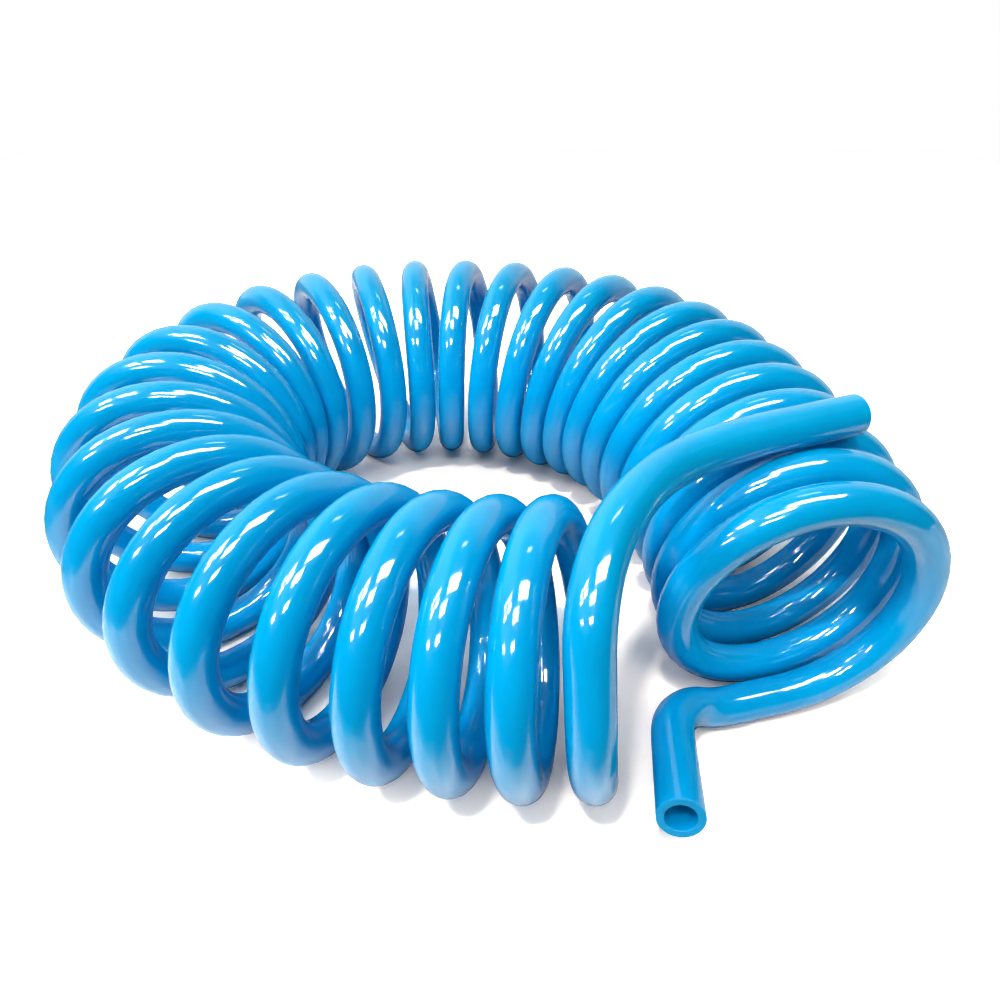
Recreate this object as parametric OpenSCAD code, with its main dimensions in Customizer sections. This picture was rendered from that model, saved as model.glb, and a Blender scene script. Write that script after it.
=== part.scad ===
// Coiled air hose: one length of self-coiling plastic hose, its coil bent round into an
// open ring that lies on a table. The upper cut end runs back over the coil from the first
// turn, and the lower one leaves the last turn, lies on the table and lifts its mouth.
// Millimetres, Z up, the table at Z = 0, X and Y from the middle of the object's box.

/* [Hose] */
// Outer diameter of the hose
hose_d = 12; // [8:0.5:14]
// Bore of the hose
bore_d = 8; // [5:0.5:9]

/* [Coil] */
// Radius of a turn, to the middle of the hose
turn_r = 37.5; // [32:0.5:44]
// Clearance between the turns on the ring's tightest bend
turn_gap = 0.6; // [0.5:0.1:3]
// Depth of the flat that the coil stands on
foot_cut = 1.2; // [0.4:0.1:1.6]

/* [Cut ends] */
// Length of the straight piece at each cut end
end_l = 26; // [20:1:32]
// Clearance between the upper tail and the turns that it lies on
lie_gap = 0.5; // [0.4:0.1:3]

/* [Hidden] */

hose_r = hose_d / 2;
bore_r = bore_d / 2;

// The ring's centre line: one control point to every three turns [x, y]
ring_pts = [
    [94, -87], [45, -102], [-3, -99], [-61, -81], [-104, -30], [-107, 44], [-46, 99],
    [20, 97], [74, 61], [99, 5], [106, -51], [101, -100], [93, -137]
];
// How far the top of a turn runs ahead of its foot, at the same control points
lean = [7.5, 7.5, 3, -0.5, -2, 1.5, -3, 0.5, 10.5, 8, 3, 5, 1];
// How far the outer side of a turn runs ahead of its middle
skew = [12, 10, 1.5, 2.5, 3.5, 1, 1.5, -5.5, -6, -7, -11, -12.5, -12];
// What a turn's radius gains over turn_r
swell = [-1.5, -2.5, -3, -2.5, -0.5, 2, 3, 3, 4, 2, -0.5, -2.5, 1];
turns_per_point = 3;

// A turn's top is at a whole number, its outer side a quarter past and its foot a half past:
// the coil begins near the first turn's outer side, and ends at the last one's foot
first_turn = 1.2;
last_turn = 30.5;
rings_per_turn = 24;
coil_sides = 6;

// The ring opens with the hose and with its turns, so that its inner side stays close wound.
// Length and bend (in radians) of one turn on the tightest stretch of ring_pts:
drawn_pitch = 19.95;
drawn_bend = 0.196;
ring_scale = (hose_d + turn_gap + turn_r * drawn_bend) / drawn_pitch;

// Heights of the hose's middle: on the table, at the coil's centre line, on the crests
rest_z = hose_r - foot_cut;
axis_z = rest_z + turn_r;
crest_z = axis_z + turn_r + hose_d + lie_gap;

// The upper tail's route from the first turn to its straight end [x, y, above crest_z]
upper_pts = [[39, -108, -9.5], [56, -83, -6.5]];
upper_stop = [91, -67.5, -4.5];
upper_aim = [25, 8.5, 1];
// The lower tail's route from the last turn to its straight end [x, y, above rest_z]
lower_pts = [[73, -94, 4]];
lower_stop = [62, -115, 12];
lower_aim = [-4, -25, 5];
// Spacing of the control points that bring a tail straight out of the coil and to its end
lead = 11;
tail_sides = 12;
rings_per_point = 2;
// Every stretch of hose has its first corner towards this, square to its path
first_normal = [0, 1, 0];

function unit(v) = v / norm(v);

// Uniform cubic B-spline over the list p, at s = 1 to len(p) - 2, and its slope
function curve(p, s) =
    let (i = min(floor(s), len(p) - 3), u = s - i)
    (pow(1 - u, 3) * p[i - 1] + (3 * pow(u, 3) - 6 * pow(u, 2) + 4) * p[i]
        + (1 + 3 * u + 3 * pow(u, 2) - 3 * pow(u, 3)) * p[i + 1] + pow(u, 3) * p[i + 2]) / 6;
function slope(p, s) =
    let (i = min(floor(s), len(p) - 3), u = s - i)
    (-pow(1 - u, 2) * p[i - 1] + (3 * pow(u, 2) - 4 * u) * p[i]
        + (1 + 2 * u - 3 * pow(u, 2)) * p[i + 1] + pow(u, 2) * p[i + 2]) / 2;

// Middle of the hose at turn t of the helix that runs round the ring's centre line
function turn(t) =
    let (
        s = 1 + (t - 1) / turns_per_point,
        head = unit(slope(ring_pts, s)),
        out = [-head.y, head.x],
        up = cos(360 * t),
        side = sin(360 * t),
        r = turn_r + curve(swell, s),
        ahead = up * curve(lean, s) + side * curve(skew, s),
        xy = ring_scale * curve(ring_pts, s) + r * side * out + ahead * head
    )
    [xy.x, xy.y, axis_z + r * up + curve(swell, s)];
function turn_dir(t) = unit(turn(t + 0.01) - turn(t - 0.01));

// The coil ends straight, one diameter of the hose past its last turns
first_dir = turn_dir(first_turn);
last_dir = turn_dir(last_turn);
coil_start = turn(first_turn) - hose_d * first_dir;
coil_stop = turn(last_turn) + hose_d * last_dir;
coil_rings = round((last_turn - first_turn) * rings_per_turn);
coil_path = [
    coil_start,
    for (i = [0 : coil_rings]) turn(first_turn + (last_turn - first_turn) * i / coil_rings),
    coil_stop
];

// A point of a tail's route in the model: X and Y open with the ring, Z is over a level
function placed(p, level) = [ring_scale * p.x, ring_scale * p.y, level + p.z];
// A tail leaves start along start_dir, and comes to stop along stop_dir
function tail_path(start, start_dir, pts, stop, stop_dir) =
    let (p = concat(
        [start - lead * start_dir, start, start + lead * start_dir],
        pts,
        [stop - lead * stop_dir, stop, stop + lead * stop_dir]
    ))
    [for (s = [1 : 1 / rings_per_point : len(p) - 1.999]) curve(p, s)];

upper_end_at = placed(upper_stop, crest_z);
lower_end_at = placed(lower_stop, rest_z);
upper_dir = unit(upper_aim);
lower_dir = unit(lower_aim);
upper_path = tail_path(
    coil_start, -first_dir, [for (p = upper_pts) placed(p, crest_z)], upper_end_at, upper_dir
);
lower_path = tail_path(
    coil_stop, last_dir, [for (p = lower_pts) placed(p, rest_z)], lower_end_at, lower_dir
);

// Direction at each point of a path that sets out along start_dir and ends along stop_dir
function headings(path, start_dir, stop_dir) = [
    start_dir,
    for (i = [1 : len(path) - 2]) unit(path[i + 1] - path[i - 1]),
    stop_dir
];
// A normal to each of the directions, carried along without twist
function square_to(v, dir) = unit(v - (v * dir) * dir);
function normals(dirs) = [
    for (i = 0, n = square_to(first_normal, dirs[0]); i < len(dirs);
        i = i + 1, n = square_to(n, dirs[min(i, len(dirs) - 1)])) n
];
function on_table(p) = [p.x, p.y, max(p.z, 0)];
// One ring of points round the path at each of its points, flattened where it meets the table
function rings(path, dirs, r, sides) =
    let (n = normals(dirs))
    [
        for (i = [0 : len(path) - 1], k = [0 : sides - 1])
            let (a = 360 * k / sides, across = cross(dirs[i], n[i]))
            on_table(path[i] + r * (cos(a) * n[i] + sin(a) * across))
    ];
// Triangles of the skin over count rings, the first of them at point base
function skin(count, sides, base, inside = false) = [
    for (i = [0 : count - 2], k = [0 : sides - 1])
        let (
            a = base + i * sides + k,
            b = base + i * sides + (k + 1) % sides,
            c = a + sides,
            d = b + sides
        )
        each inside ? [[a, b, d], [a, d, c]] : [[a, d, b], [a, c, d]]
];
// Solid hose along a path
module solid_hose(path, dirs, r, sides) {
    last = (len(path) - 1) * sides;
    fan = [for (k = [1 : sides - 2]) [0, k, k + 1]];
    polyhedron(
        points = rings(path, dirs, r, sides),
        faces = concat(
            fan,
            skin(len(path), sides, 0),
            [for (f = fan) [last + f[0], last + f[2], last + f[1]]]
        )
    );
}
// Hose with its bore along a path
module open_hose(path, dirs, r, bore, sides) {
    count = len(path);
    bore_at = count * sides;
    last = bore_at - sides;
    rim = [
        for (k = [0 : sides - 1])
            let (a = k, b = (k + 1) % sides, c = bore_at + a, d = bore_at + b)
            each [[a, b, d], [a, d, c]]
    ];
    polyhedron(
        points = concat(rings(path, dirs, r, sides), rings(path, dirs, bore, sides)),
        faces = concat(
            rim,
            skin(count, sides, 0),
            skin(count, sides, bore_at, inside = true),
            [for (f = rim) [last + f[0], last + f[2], last + f[1]]]
        )
    );
}
// Straight cut end of the hose, from a point along a direction
module cut_end(at, dir) {
    translate(at)
        rotate([0, acos(dir.z), atan2(dir.y, dir.x)])
        difference() {
            cylinder(h = end_l, r = hose_r, $fn = 48);
            translate([0, 0, -1]) cylinder(h = end_l + 2, r = bore_r, $fn = 48);
        }
}

module coil() {
    dirs = headings(coil_path, first_dir, last_dir);
    color("deepskyblue") solid_hose(coil_path, dirs, hose_r, coil_sides);
}
module upper_tail() {
    dirs = headings(upper_path, -first_dir, upper_dir);
    color("deepskyblue") open_hose(upper_path, dirs, hose_r, bore_r, tail_sides);
}
module lower_tail() {
    dirs = headings(lower_path, last_dir, lower_dir);
    color("deepskyblue") open_hose(lower_path, dirs, hose_r, bore_r, tail_sides);
}
module upper_end() {
    color("dodgerblue") cut_end(upper_end_at, upper_dir);
}
module lower_end() {
    color("dodgerblue") cut_end(lower_end_at, lower_dir);
}

coil();
upper_tail();
lower_tail();
upper_end();
lower_end();

// Least gap of the hose to itself, from the middles of rings a good half turn apart
turn_rings = 48;
gap_path = [for (t = [first_turn : 1 / turn_rings : last_turn]) turn(t)];
turn_gaps = [
    for (i = [0 : len(gap_path) - 1], j = [i + turn_rings - 9 : min(i + turn_rings + 9, len(gap_path) - 1)])
        norm(gap_path[i] - gap_path[j]) - hose_d
];
upper_run = concat(upper_path, [for (k = [0.25 : 0.25 : 1]) upper_end_at + k * end_l * upper_dir]);
lower_run = concat(lower_path, [for (k = [0.25 : 0.25 : 1]) lower_end_at + k * end_l * lower_dir]);
upper_gaps = [for (p = upper_run, i = [turn_rings : len(gap_path) - 1]) norm(p - gap_path[i]) - hose_d];
lower_gaps = [for (p = lower_run, i = [0 : len(gap_path) - turn_rings]) norm(p - gap_path[i]) - hose_d];
echo(least_gap_between_turns = min(turn_gaps));
echo(least_gap_upper_tail = min(upper_gaps), least_gap_lower_tail = min(lower_gaps));

// Length of the hose along its middle
function path_length(path) = let (n = len(path)) [
    for (i = 0, l = 0; i < n; i = i + 1, l = l + norm(path[min(i, n - 1)] - path[i - 1])) l
][n - 1];
hose_length = path_length(gap_path) + 2 * hose_d + path_length(upper_path) + path_length(lower_path)
    + 2 * end_l;
echo(hose_length = hose_length, ring_scale = ring_scale);
echo(upper_mouth = upper_end_at + end_l * upper_dir, upper_dir = upper_dir);
echo(lower_mouth = lower_end_at + end_l * lower_dir, lower_dir = lower_dir);
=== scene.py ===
"""Coiled air hose: one length of glossy blue polyurethane hose, wound into a coil whose axis is bent
round into a ring, with an open cut end on each tail. It lies on a white table in soft studio light.

The hose is one swept tube with its real bore. Its route is the one that the CAD model's five solids
follow, so it replaces all of them. The route is worked out in millimetres, and everything is made in
metres, in the frame of the CAD model.
"""

from math import cos, floor, pi, radians, sin, tau

import bpy
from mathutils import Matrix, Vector


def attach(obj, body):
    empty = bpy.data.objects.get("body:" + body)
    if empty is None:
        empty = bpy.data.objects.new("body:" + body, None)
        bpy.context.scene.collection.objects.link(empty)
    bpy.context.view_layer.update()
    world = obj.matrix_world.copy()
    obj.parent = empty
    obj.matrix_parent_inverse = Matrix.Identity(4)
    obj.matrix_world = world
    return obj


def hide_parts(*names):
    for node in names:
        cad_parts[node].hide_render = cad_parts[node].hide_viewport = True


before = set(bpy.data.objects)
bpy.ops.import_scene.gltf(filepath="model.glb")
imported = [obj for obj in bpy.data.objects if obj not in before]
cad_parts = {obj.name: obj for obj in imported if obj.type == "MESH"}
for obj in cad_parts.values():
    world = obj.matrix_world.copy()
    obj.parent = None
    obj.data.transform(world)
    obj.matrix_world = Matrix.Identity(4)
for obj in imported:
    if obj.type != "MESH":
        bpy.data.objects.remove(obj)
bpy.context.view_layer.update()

MM = 0.001

# ---------------------------------------------------------------- the hose's sizes, in millimetres

HOSE_D = 12.0
BORE_D = 8.0
TURN_R = 37.5          # middle of the hose to the coil's centre line, before SWELL
END_L = 26.0           # straight piece at each cut end
LIE_GAP = 0.5          # lifts the upper tail off the turns that it lies on
FOOT_CUT = 1.2         # the CAD coil is cut flat this deep, so the round hose lies this much lower

REST_Z = HOSE_D / 2 - FOOT_CUT                  # middle of a hose that lies on the table
AXIS_Z = REST_Z + TURN_R                        # the coil's centre line, before SWELL
CREST_Z = AXIS_Z + TURN_R + HOSE_D + LIE_GAP    # middle of a hose that lies on the turns
FLOOR_Z = -FOOT_CUT                             # table top

# The ring's centre line and the shape of the turns along it, with one point to every three turns
TURNS_PER_POINT = 3
RING = [(94, -87), (45, -102), (-3, -99), (-61, -81), (-104, -30), (-107, 44), (-46, 99),
        (20, 97), (74, 61), (99, 5), (106, -51), (101, -100), (93, -137)]
RING_POINTS = [Vector((x, y, 0)) for x, y in RING]
# How far along the ring a turn's top is ahead of its middle
LEAN = [7.5, 7.5, 3, -0.5, -2, 1.5, -3, 0.5, 10.5, 8, 3, 5, 1]
# How far along the ring a turn's outer side is ahead of its middle
SKEW = [12, 10, 1.5, 2.5, 3.5, 1, 1.5, -5.5, -6, -7, -11, -12.5, -12]
# How much wider a turn's radius is than TURN_R
SWELL = [-1.5, -2.5, -3, -2.5, -0.5, 2, 3, 3, 4, 2, -0.5, -2.5, 1]
FIRST_TURN, LAST_TURN = 1.2, 30.5    # where the coil starts and ends, in turns

# The tails: points on the way, the start of the straight cut end, and its direction. Heights count
# from CREST_Z for the upper tail and from REST_Z for the lower one.
UPPER = [(39, -108, -9.5), (56, -83, -6.5)]
UPPER_STOP, UPPER_AIM = (91, -67.5, -4.5), (25, 8.5, 1)
LOWER = [(73, -94, 4)]
LOWER_STOP, LOWER_AIM = (62, -115, 12), (-4, -25, 5)
LEAD = 11              # spacing of the points that set a tail's direction at each of its ends

# How finely the tube is made
RINGS_PER_TURN = 48
TAIL_STEP = 1.6        # spacing of a tail's rings
JOIN_STEPS = 6         # steps on the straight way from the coil to a tail
END_STEPS = 12         # steps along a straight cut end
MEASURE_STEPS = 400    # steps in which a tail's length is measured
SIDES = 32
CUT_EDGE = 0.20        # rounding of the edges at the cut ends
EDGE_STEPS = 4         # steps round such an edge


# ---------------------------------------------------------------- the hose's route

def curve(points, s):
    """Uniform cubic B-spline over points (numbers or vectors) at s, from 1 to len(points) - 2."""
    i = min(floor(s), len(points) - 3)
    u = s - i
    weights = ((1 - u) ** 3, 3 * u ** 3 - 6 * u ** 2 + 4,
               1 + 3 * u + 3 * u ** 2 - 3 * u ** 3, u ** 3)
    terms = [w * points[i - 1 + k] for k, w in enumerate(weights)]
    return (terms[0] + terms[1] + terms[2] + terms[3]) / 6


def whole_curve(points, steps):
    """Points on the B-spline from one end to the other."""
    return [curve(points, 1 + (len(points) - 3) * k / steps) for k in range(steps + 1)]


def turn(t):
    """Middle of the hose at turn t of the helix that runs round the ring's centre line."""
    s = 1 + (t - 1) / TURNS_PER_POINT
    nearby = 1e-4
    head = (curve(RING_POINTS, s + nearby) - curve(RING_POINTS, s - nearby)).normalized()
    out = Vector((-head.y, head.x, 0))
    up, side = cos(tau * t), sin(tau * t)
    swell = curve(SWELL, s)
    r = TURN_R + swell
    ahead = up * curve(LEAN, s) + side * curve(SKEW, s)
    p = curve(RING_POINTS, s) + r * side * out + ahead * head
    return Vector((p.x, p.y, AXIS_Z + r * up + swell))


def turn_dir(t):
    """Direction of the hose at turn t."""
    nearby = 0.01
    return (turn(t + nearby) - turn(t - nearby)).normalized()


def tail(start, start_dir, points, level, stop, aim):
    """Points of a tail, from the coil to the end of its straight cut piece."""
    stop = Vector(stop) + Vector((0, 0, level))
    aim = Vector(aim).normalized()
    control = [start - LEAD * start_dir, start, start + LEAD * start_dir]
    control += [Vector(p) + Vector((0, 0, level)) for p in points]
    control += [stop - LEAD * aim, stop, stop + LEAD * aim]
    fine = whole_curve(control, MEASURE_STEPS)
    steps = round(sum((b - a).length for a, b in zip(fine, fine[1:])) / TAIL_STEP)
    cut_piece = [stop + aim * END_L * k / END_STEPS for k in range(1, END_STEPS + 1)]
    return whole_curve(control, steps) + cut_piece


def join(start, stop):
    """Points on the straight way from start to stop, without the two."""
    return [start.lerp(stop, k / JOIN_STEPS) for k in range(1, JOIN_STEPS)]


def hose_path():
    """Middle of the hose in metres, from the upper mouth to the lower one."""
    first, last = turn_dir(FIRST_TURN), turn_dir(LAST_TURN)
    upper_start = turn(FIRST_TURN) - HOSE_D * first
    lower_start = turn(LAST_TURN) + HOSE_D * last
    upper = tail(upper_start, -first, UPPER, CREST_Z, UPPER_STOP, UPPER_AIM)
    lower = tail(lower_start, last, LOWER, REST_Z, LOWER_STOP, LOWER_AIM)
    steps = round((LAST_TURN - FIRST_TURN) * RINGS_PER_TURN)
    coil = [turn(FIRST_TURN + (LAST_TURN - FIRST_TURN) * k / steps) for k in range(steps + 1)]
    route = upper[::-1] + join(upper_start, coil[0]) + coil + join(coil[-1], lower_start) + lower
    return [p * MM for p in route]


def axes_along(path):
    """At each point the direction of the path and two normals, carried along without twist."""
    last = len(path) - 1
    dirs = [(path[min(i + 1, last)] - path[max(i - 1, 0)]).normalized() for i in range(last + 1)]
    normal = dirs[0].cross(Vector((0, 0, 1))).normalized()
    found = []
    for d in dirs:
        normal = (normal - normal.dot(d) * d).normalized()
        found.append((d, normal, d.cross(normal)))
    return found


# ---------------------------------------------------------------- the hose

def cut_profile():
    """Outline of the wall at a cut end, outside to bore: (distance in from the face, radius)."""
    outer, bore, edge = HOSE_D / 2 * MM, BORE_D / 2 * MM, CUT_EDGE * MM
    angles = [radians(90 * k / EDGE_STEPS) for k in range(EDGE_STEPS + 1)]
    rim = [(edge - edge * sin(a), outer - edge + edge * cos(a)) for a in angles]
    lip = [(edge - edge * cos(a), bore + edge - edge * sin(a)) for a in angles]
    return rim + lip


def tube_rings(path, lengths):
    """The tube's rings: over the first cut face, along the skin, over the last cut face and back
    along the bore. Each is (middle, its axes, radius, distance along the hose)."""
    axes = axes_along(path)
    outer, bore = HOSE_D / 2 * MM, BORE_D / 2 * MM
    between_ends = range(1, len(path) - 1)
    rings = []
    for depth, r in reversed(cut_profile()):
        rings.append((path[0] + axes[0][0] * depth, axes[0], r, depth))
    for k in between_ends:
        rings.append((path[k], axes[k], outer, lengths[k]))
    for depth, r in cut_profile():
        rings.append((path[-1] - axes[-1][0] * depth, axes[-1], r, lengths[-1] - depth))
    for k in reversed(between_ends):
        rings.append((path[k], axes[k], bore, lengths[k]))
    return rings


def tube_mesh(name, rings):
    """Mesh that joins each ring to the next, and the last to the first. Its UV map has metres along
    the hose, and a share of the way round it."""
    verts, faces, uvs = [], [], []
    for middle, (_, normal, binormal), r, _ in rings:
        for k in range(SIDES):
            a = tau * k / SIDES
            verts.append(middle + r * (cos(a) * normal + sin(a) * binormal))
    for i in range(len(rings)):
        j = (i + 1) % len(rings)
        here, there = rings[i][3], rings[j][3]
        for k in range(SIDES):
            m = (k + 1) % SIDES
            faces.append((i * SIDES + k, j * SIDES + k, j * SIDES + m, i * SIDES + m))
            u0, u1 = k / SIDES, (k + 1) / SIDES
            uvs += [(here, u0), (there, u0), (there, u1), (here, u1)]
    mesh = bpy.data.meshes.new(name)
    mesh.from_pydata(verts, [], faces)
    layer = mesh.uv_layers.new(name="along")
    layer.data.foreach_set("uv", [part for uv in uvs for part in uv])
    mesh.shade_smooth()
    mesh.validate()
    mesh.update()
    return mesh


def make_hose(path):
    """Swept tube: outer skin, a rounded cut face at each end, and the bore right through it."""
    lengths = [0.0]
    for a, b in zip(path, path[1:]):
        lengths.append(lengths[-1] + (b - a).length)
    mesh = tube_mesh("hose", tube_rings(path, lengths))
    hose = bpy.data.objects.new("hose", mesh)
    bpy.context.scene.collection.objects.link(hose)

    mesh.materials.append(polyurethane("blue_polyurethane", shade=1.0, smoothest=0.05,
                                       roughest=0.10, specular=0.5))
    # Cut faces: matt, and a darker copy of the dye that is painted shade
    mesh.materials.append(polyurethane("cut_polyurethane", shade=0.80, smoothest=0.45,
                                       roughest=0.60, specular=0.15))
    # The faces between the rings of a cut end have the second material
    cut_bands = len(cut_profile()) - 1
    far_cut = len(cut_profile()) + len(path) - 2
    for face in mesh.polygons:
        band = face.index // SIDES
        if band < cut_bands or far_cut <= band < far_cut + cut_bands:
            face.material_index = 1

    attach(hose, "root")
    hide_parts("coil", "upper_tail", "lower_tail", "upper_end", "lower_end")


# ---------------------------------------------------------------- shader nodes

def feed(tree, socket, term):
    """Links an input to an output, or sets it to a number, a vector or a colour's three numbers."""
    if isinstance(term, bpy.types.NodeSocket):
        tree.links.new(term, socket)
    elif socket.type == "RGBA":
        socket.default_value = (*term, 1)
    else:
        socket.default_value = term


def set_up(tree, made, **settings):
    """Sets a node up. A setting that starts with _ is an attribute, and any other is an input."""
    for key, value in settings.items():
        if key.startswith("_"):
            setattr(made, key[1:], value)
        else:
            feed(tree, made.inputs[key.replace("_", " ")], value)
    return made


def node(tree, kind, **settings):
    """New node, with settings as in set_up."""
    return set_up(tree, tree.nodes.new(kind), **settings)


def mixed(tree, factor, first, second, blend="MIX"):
    """Output of a Mix node for two colours."""
    made = node(tree, "ShaderNodeMix", _data_type="RGBA", _blend_type=blend, Factor=factor)
    colours = [socket for socket in made.inputs if socket.type == "RGBA"]
    feed(tree, colours[0], first)
    feed(tree, colours[1], second)
    return next(socket for socket in made.outputs if socket.type == "RGBA")


def combined(tree, operation, first, *others):
    """Output of Math nodes that combine outputs or numbers, such as by adding them."""
    for other in others:
        made = node(tree, "ShaderNodeMath", _operation=operation)
        feed(tree, made.inputs[0], first)
        feed(tree, made.inputs[1], other)
        first = made.outputs[0]
    return first


def step(tree, value, low, high, top=1.0):
    """Output that rises smoothly from 0 at low to top at high."""
    made = node(tree, "ShaderNodeMapRange", _interpolation_type="SMOOTHSTEP", Value=value,
                From_Min=low, From_Max=high, To_Max=top)
    return made.outputs["Result"]


def ramp(tree, value, start, stop):
    """Output that goes evenly from start to stop, and no further. Each is (value, result)."""
    made = node(tree, "ShaderNodeMapRange", Value=value, From_Min=start[0], From_Max=stop[0],
                To_Min=start[1], To_Max=stop[1])
    return made.outputs["Result"]


def new_material(name):
    """New material, with its node tree and its Principled shader."""
    material = bpy.data.materials.new(name)
    material.use_nodes = True
    tree = material.node_tree
    return material, tree, tree.nodes["Principled BSDF"]


# ---------------------------------------------------------------- the hose's material

DYE_DEEP = (0.0, 0.354, 0.710)
DYE_PALE = (0.0, 0.397, 0.775)
UNTINTED = (1.0, 1.0, 1.0)
CREST_LIGHT_TINT = (1.0, 0.98, 0.92)     # painted light: multiplies the dye on the turns' crests
CREST_FADE = (0.060, 0.090)        # heights between which it comes in, in metres
NARROW_SHADE_TINT = (1.0, 0.55, 0.66)    # painted shade: multiplies the dye in the bore and in narrow places
NARROW_REACH = 0.030               # how close walls make a place narrow, in metres
NARROW_FADE = (0.0, 0.65)          # openness, from 0 for shut in to 1, between which it goes out
NOISE_LOW, NOISE_HIGH = 0.3, 0.7   # a noise has most of its values between these


def polyurethane(name, shade, smoothest, roughest, specular):
    """Blue polyurethane, faintly translucent, dyed right through, with fine lines along the hose.

    shade multiplies the colour, and the roughness varies between smoothest and roughest."""
    material, tree, shader = new_material(name)
    set_up(tree, shader, IOR=1.5, Specular_IOR_Level=specular, Subsurface_Weight=0.15,
           Subsurface_Radius=(0.2, 0.7, 1.0), Subsurface_Scale=0.003)
    at = node(tree, "ShaderNodeTexCoord").outputs["Object"]

    # Colour: deeper and paler patches of the dye, a few centimetres long
    patches = node(tree, "ShaderNodeTexNoise", Vector=at, Scale=45.0, Detail=3.0, Roughness=0.5)
    dye = node(tree, "ShaderNodeValToRGB", Fac=patches.outputs["Fac"])
    ends = ((NOISE_LOW, DYE_DEEP), (NOISE_HIGH, DYE_PALE))
    for element, (position, colour) in zip(dye.color_ramp.elements, ends):
        element.position = position
        element.color = (*(part * shade for part in colour), 1)

    # Painted light tints the crests; painted shade deepens the dye in the bore and narrow places
    height = node(tree, "ShaderNodeSeparateXYZ", Vector=at).outputs["Z"]
    openness = node(tree, "ShaderNodeAmbientOcclusion", _samples=4, Distance=NARROW_REACH)
    crest_light = mixed(tree, step(tree, height, *CREST_FADE), UNTINTED, CREST_LIGHT_TINT)
    narrow_shade = mixed(tree, step(tree, openness.outputs["AO"], *NARROW_FADE), NARROW_SHADE_TINT, UNTINTED)
    colour = mixed(tree, 1.0, dye.outputs["Color"], crest_light, "MULTIPLY")
    colour = mixed(tree, 1.0, colour, narrow_shade, "MULTIPLY")

    # Gloss: slightly uneven, as on a handled hose
    smear = node(tree, "ShaderNodeTexNoise", Vector=at, Scale=260.0, Detail=4.0, Roughness=0.6)
    roughness = ramp(tree, smear.outputs["Fac"], (NOISE_LOW, smoothest), (NOISE_HIGH, roughest))

    # Fine lines that the die leaves along the hose
    along = node(tree, "ShaderNodeUVMap", _uv_map="along")
    stretch = node(tree, "ShaderNodeMapping", Vector=along.outputs["UV"], Scale=(6.0, 40.0, 1.0))
    lines = node(tree, "ShaderNodeTexNoise", Vector=stretch.outputs["Vector"], Scale=1.0,
                 Detail=2.0, Roughness=0.5)
    bump = node(tree, "ShaderNodeBump", Height=lines.outputs["Fac"], Strength=0.04,
                Distance=0.00015)

    set_up(tree, shader, Base_Color=colour, Roughness=roughness, Normal=bump.outputs["Normal"])
    return material


# ---------------------------------------------------------------- the table, in metres

TABLE = [(-0.9, -0.305), (0.9, -0.125), (0.9, 1.3), (-0.9, 1.3)]
TABLE_ALBEDO = (0.50, 0.50, 0.50)        # what it sends back on to the hose
TABLE_SHADOW_SEEN = (1.44, 1.24, 1.08)     # painted shadow: what the camera sees close to the hose
TABLE_SEEN = (2.22, 2.04, 1.82)          # what it sees elsewhere, so that the lit part is white
SHUT_IN_REACH = 0.06                     # how close the hose shuts the table in
SEEN_FADE = (0.35, 0.85)                 # openness between which the one goes over to the other

# In the hose's gloss the table's brightness is painted as a product of these
GLOSS_ACROSS = ((-0.15, 1.8), (0.05, 1.25))    # x and brightness, on the left and on the right
GLOSS_BACK = ((-0.09, 1.0), (0.0, 0.45))       # y and brightness, in front and from the middle on
GLOSS_OPEN = (0.2, 0.6)                        # openness between which it comes in
GLOSS_LEFT = (-0.28, -0.16)                    # x between which it comes in
GLOSS_FRONT = (-0.193, -0.166)                 # y between which it comes in, before the slope
FRONT_SLOPE = 0.2                              # how askew that front runs
FRONT_SLOPED = (-0.02, 0.06)                   # x between which it does


def table_white():
    """White table top. The camera sees it as white as in the photograph. The hose's gloss sees it
    brighter on the left, dimmer from the middle of the ring back and dark where the hose shuts it
    in, and it fades out at the front and far left."""
    material, tree, shader = new_material("table_white")
    place = node(tree, "ShaderNodeTexCoord")
    split = node(tree, "ShaderNodeSeparateXYZ", Vector=place.outputs["Object"])
    x, y = split.outputs["X"], split.outputs["Y"]
    openness = node(tree, "ShaderNodeAmbientOcclusion", _samples=8, Distance=SHUT_IN_REACH)
    is_open = openness.outputs["AO"]

    # Painted reflection: the table's brightness in the gloss, with painted shade where shut in
    sloped = combined(tree, "MINIMUM", x, FRONT_SLOPED[1])
    sloped = combined(tree, "MAXIMUM", sloped, FRONT_SLOPED[0])
    inward = combined(tree, "SUBTRACT", y, combined(tree, "MULTIPLY", sloped, FRONT_SLOPE))
    level = combined(tree, "MULTIPLY", step(tree, inward, *GLOSS_FRONT),
                     ramp(tree, x, *GLOSS_ACROSS), ramp(tree, y, *GLOSS_BACK),
                     step(tree, x, *GLOSS_LEFT), step(tree, is_open, *GLOSS_OPEN))
    in_gloss = node(tree, "ShaderNodeCombineColor", Red=level, Green=level, Blue=level)

    ray = node(tree, "ShaderNodeLightPath").outputs
    gloss = combined(tree, "MAXIMUM", ray["Is Glossy Ray"], ray["Is Transmission Ray"])
    # Painted shadow: the camera sees the table darker where the hose shuts it in
    seen = mixed(tree, step(tree, is_open, *SEEN_FADE), TABLE_SHADOW_SEEN, TABLE_SEEN)
    colour = mixed(tree, gloss, TABLE_ALBEDO, in_gloss.outputs["Color"])
    colour = mixed(tree, ray["Is Camera Ray"], colour, seen)
    set_up(tree, shader, Roughness=0.35, IOR=1.45, Base_Color=colour)
    return material


def make_table():
    """White table top. Its near edge lies just outside the view, and shows in the front turns' gloss."""
    mesh = bpy.data.meshes.new("table_top")
    mesh.from_pydata([(x, y, FLOOR_Z * MM) for x, y in TABLE], [], [(0, 1, 2, 3)])
    mesh.materials.append(table_white())
    table = bpy.data.objects.new("table_top", mesh)
    bpy.context.scene.collection.objects.link(table)


# ---------------------------------------------------------------- lamps

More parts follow.
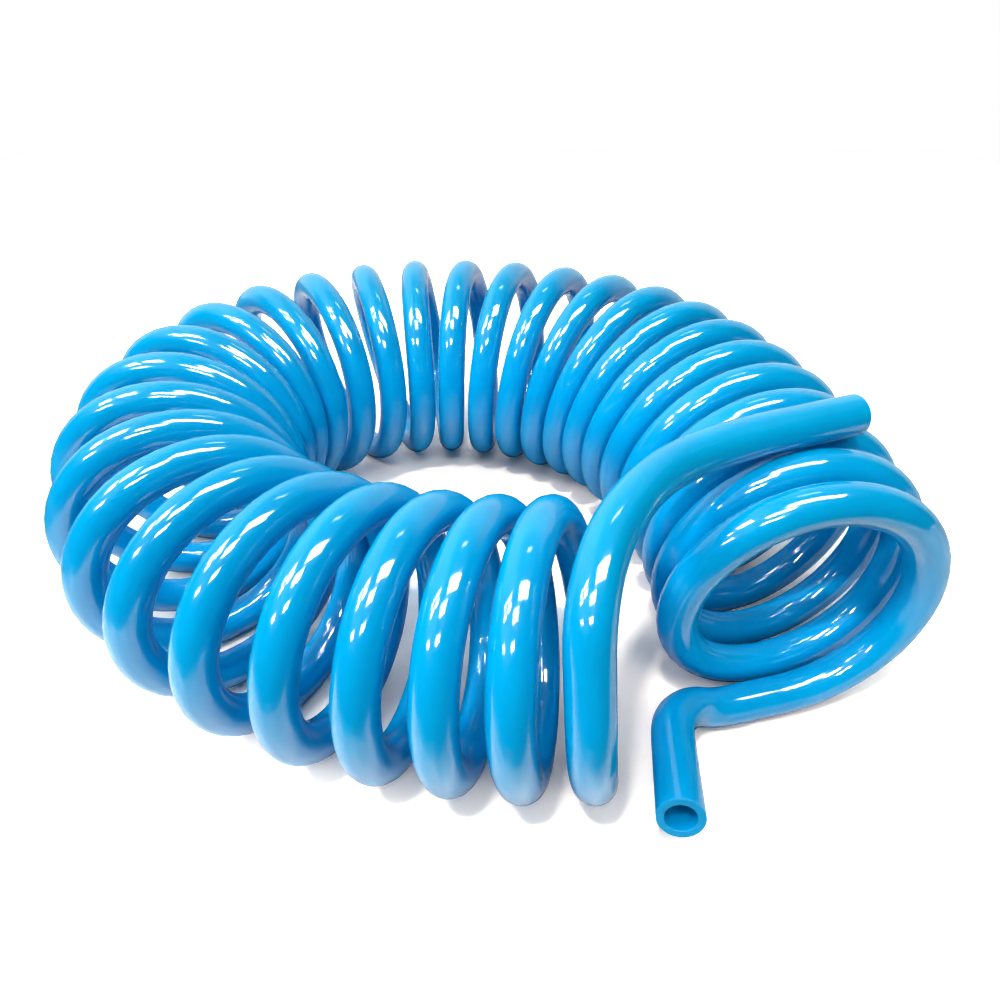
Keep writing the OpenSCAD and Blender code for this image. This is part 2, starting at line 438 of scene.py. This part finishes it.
CEILING = 2.0          # height of the lamps, in metres
SHINE = 80.0           # brightness of a ceiling lamp in the hose's gloss, where 1 is white
SOFT_EDGE = 0.10       # u * (1 - u) at which a lamp is fully bright, with u from 0 to 1 across it

# Ceiling lamps: middle [x, y] and size [x, y], all in parts of the ceiling's height, brightness
# in the gloss as a share of SHINE, and how much of a white level surface's light it gives
LAMPS = {
    "row_1_right_a": (0.33, -0.17, 0.80, 0.12, 1.0, 0.06),
    "row_1_right_b": (0.33, -0.29, 0.80, 0.12, 1.0, 0.06),
    "row_1_left_a": (-1.20, -0.10, 0.38, 0.14, 0.7, 0.11),
    "row_1_left_b": (-0.72, -0.12, 0.38, 0.12, 0.7, 0.0),
    "row_1_left_c": (-1.16, -0.32, 0.38, 0.14, 1.0, 0.11),
    "row_1_left_d": (-0.68, -0.29, 0.36, 0.12, 1.0, 0.0),
    "row_2_middle": (-0.10, -0.54, 0.44, 0.24, 1.0, 0.0),
    "row_3_middle": (-0.15, -1.15, 0.44, 0.28, 1.0, 0.04),
    "row_3_left": (-1.35, -1.10, 0.56, 0.32, 0.8, 0.05),
    "streak": (0.20, 0.36, 0.30, 0.10, 0.15, 0.0),
    "fill": (0.10, -0.80, 0.40, 0.40, 0.0, 0.24),
    "key": (-0.20, -0.48, 0.08, 0.04, 0.0, 0.44),
}


def soften(data):
    """Lets a lamp's brightness fall off smoothly towards its edges."""
    data.use_nodes = True
    tree = data.node_tree
    place = node(tree, "ShaderNodeNewGeometry")
    split = node(tree, "ShaderNodeSeparateXYZ", Vector=place.outputs["Parametric"])
    fades = []
    for u in (split.outputs["X"], split.outputs["Y"]):
        # u * (1 - u) is 0 at both edges and a quarter at the middle
        from_edges = combined(tree, "MULTIPLY", combined(tree, "SUBTRACT", 1.0, u), u)
        fades.append(step(tree, from_edges, 0.0, SOFT_EDGE))
    set_up(tree, tree.nodes["Emission"], Strength=combined(tree, "MULTIPLY", *fades))


def ceiling_lamp(name, x, y, width, depth, power, shine):
    """Rectangular lamp that faces down. It either lights surfaces or shows in their gloss."""
    data = bpy.data.lights.new(name, "AREA")
    data.shape = "RECTANGLE"
    data.size, data.size_y = width * CEILING, depth * CEILING
    data.energy = power
    if shine:
        soften(data)
    lamp = bpy.data.objects.new(name, data)
    lamp.location = (x * CEILING, y * CEILING, CEILING)
    lamp.visible_camera = False
    lamp.visible_diffuse = not shine
    lamp.visible_glossy = shine
    lamp.visible_transmission = shine
    bpy.context.scene.collection.objects.link(lamp)


def make_lamps():
    """For each of LAMPS one lamp that shows in the gloss and one that lights, where it has them."""
    for name, (x, y, width, depth, shine, light) in LAMPS.items():
        # A lamp of brightness b and area a gives off pi * b * a
        if shine:
            ceiling_lamp(name + "_shine", x, y, width, depth,
                         pi * SHINE * shine * width * depth * CEILING ** 2, True)
        # It gives a level surface b * a * cosine ** 4 / height ** 2, and pi of that is white
        if light:
            ceiling_lamp(name + "_light", x, y, width, depth,
                         (pi * CEILING) ** 2 * light * (1 + x * x + y * y) ** 2, False)


# ---------------------------------------------------------------- room

# How far a direction points ahead, left or up, from 0 to 1, between which each part of the room
# comes in, or the wall's top goes out, and each part's brightness
WALL_AHEAD = (0.20, 0.75)
WALL_TOP = (0.50, 0.85)
WALL_TOP_LOSS = 0.85       # share of its brightness that the wall loses on its way up
WALL_LIGHT = 1.25
SIDE_LEFT = (0.2, 0.5)
SIDE_UP = (0.30, 0.60)
SIDE_LIGHT = 0.9
CEILING_UP = (0.60, 0.90)
CEILING_LIGHT = 0.25
DARK_LIGHT = 0.02


def make_world():
    """A room with a bright wall ahead, another high on the left and a dim ceiling, dark elsewhere.

    The camera sees white all round, and gloss sees the wall ahead as white."""
    world = bpy.data.worlds.new("studio")
    bpy.context.scene.world = world
    world.use_nodes = True
    tree = world.node_tree
    place = node(tree, "ShaderNodeTexCoord")
    split = node(tree, "ShaderNodeSeparateXYZ", Vector=place.outputs["Generated"])
    right, ahead, up = (split.outputs[k] for k in "XYZ")
    left = combined(tree, "MULTIPLY", right, -1.0)
    below_top = combined(tree, "SUBTRACT", 1.0, step(tree, up, *WALL_TOP, WALL_TOP_LOSS))
    wall = combined(tree, "MULTIPLY", step(tree, ahead, *WALL_AHEAD), below_top)
    side = combined(tree, "MULTIPLY", step(tree, left, *SIDE_LEFT),
                    step(tree, up, *SIDE_UP, SIDE_LIGHT))
    ceiling = step(tree, up, *CEILING_UP, CEILING_LIGHT)
    room = combined(tree, "ADD", combined(tree, "MULTIPLY", wall, WALL_LIGHT), side, ceiling,
                    DARK_LIGHT)

    ray = node(tree, "ShaderNodeLightPath").outputs
    gloss = combined(tree, "MAXIMUM", ray["Is Glossy Ray"], ray["Is Transmission Ray"])
    seen = combined(tree, "MAXIMUM", ray["Is Camera Ray"], combined(tree, "MULTIPLY", gloss, wall))
    strength = node(tree, "ShaderNodeMix", _data_type="FLOAT", Factor=seen, A=room, B=1.0)
    set_up(tree, tree.nodes["Background"], Color=(1, 1, 1), Strength=strength.outputs["Result"])


# ---------------------------------------------------------------- camera

CAMERA_AT = (0.0148, -0.2413, 0.1768)
CAMERA_DOWN = 32.66    # degrees that it looks down
CAMERA_LENS = 25.5     # focal length for a sensor 36 mm wide


def make_camera():
    """The photograph's view, from the front and above."""
    data = bpy.data.cameras.new("camera")
    data.sensor_width = 36
    data.lens = CAMERA_LENS
    data.clip_start, data.clip_end = 0.01, 50
    camera = bpy.data.objects.new("camera", data)
    camera.location = CAMERA_AT
    camera.rotation_euler = (radians(90 - CAMERA_DOWN), 0, 0)
    bpy.context.scene.collection.objects.link(camera)
    bpy.context.scene.camera = camera


# ---------------------------------------------------------------- scene

make_camera()
make_hose(hose_path())
make_table()
make_world()
make_lamps()

bpy.context.scene.view_settings.view_transform = "Standard"
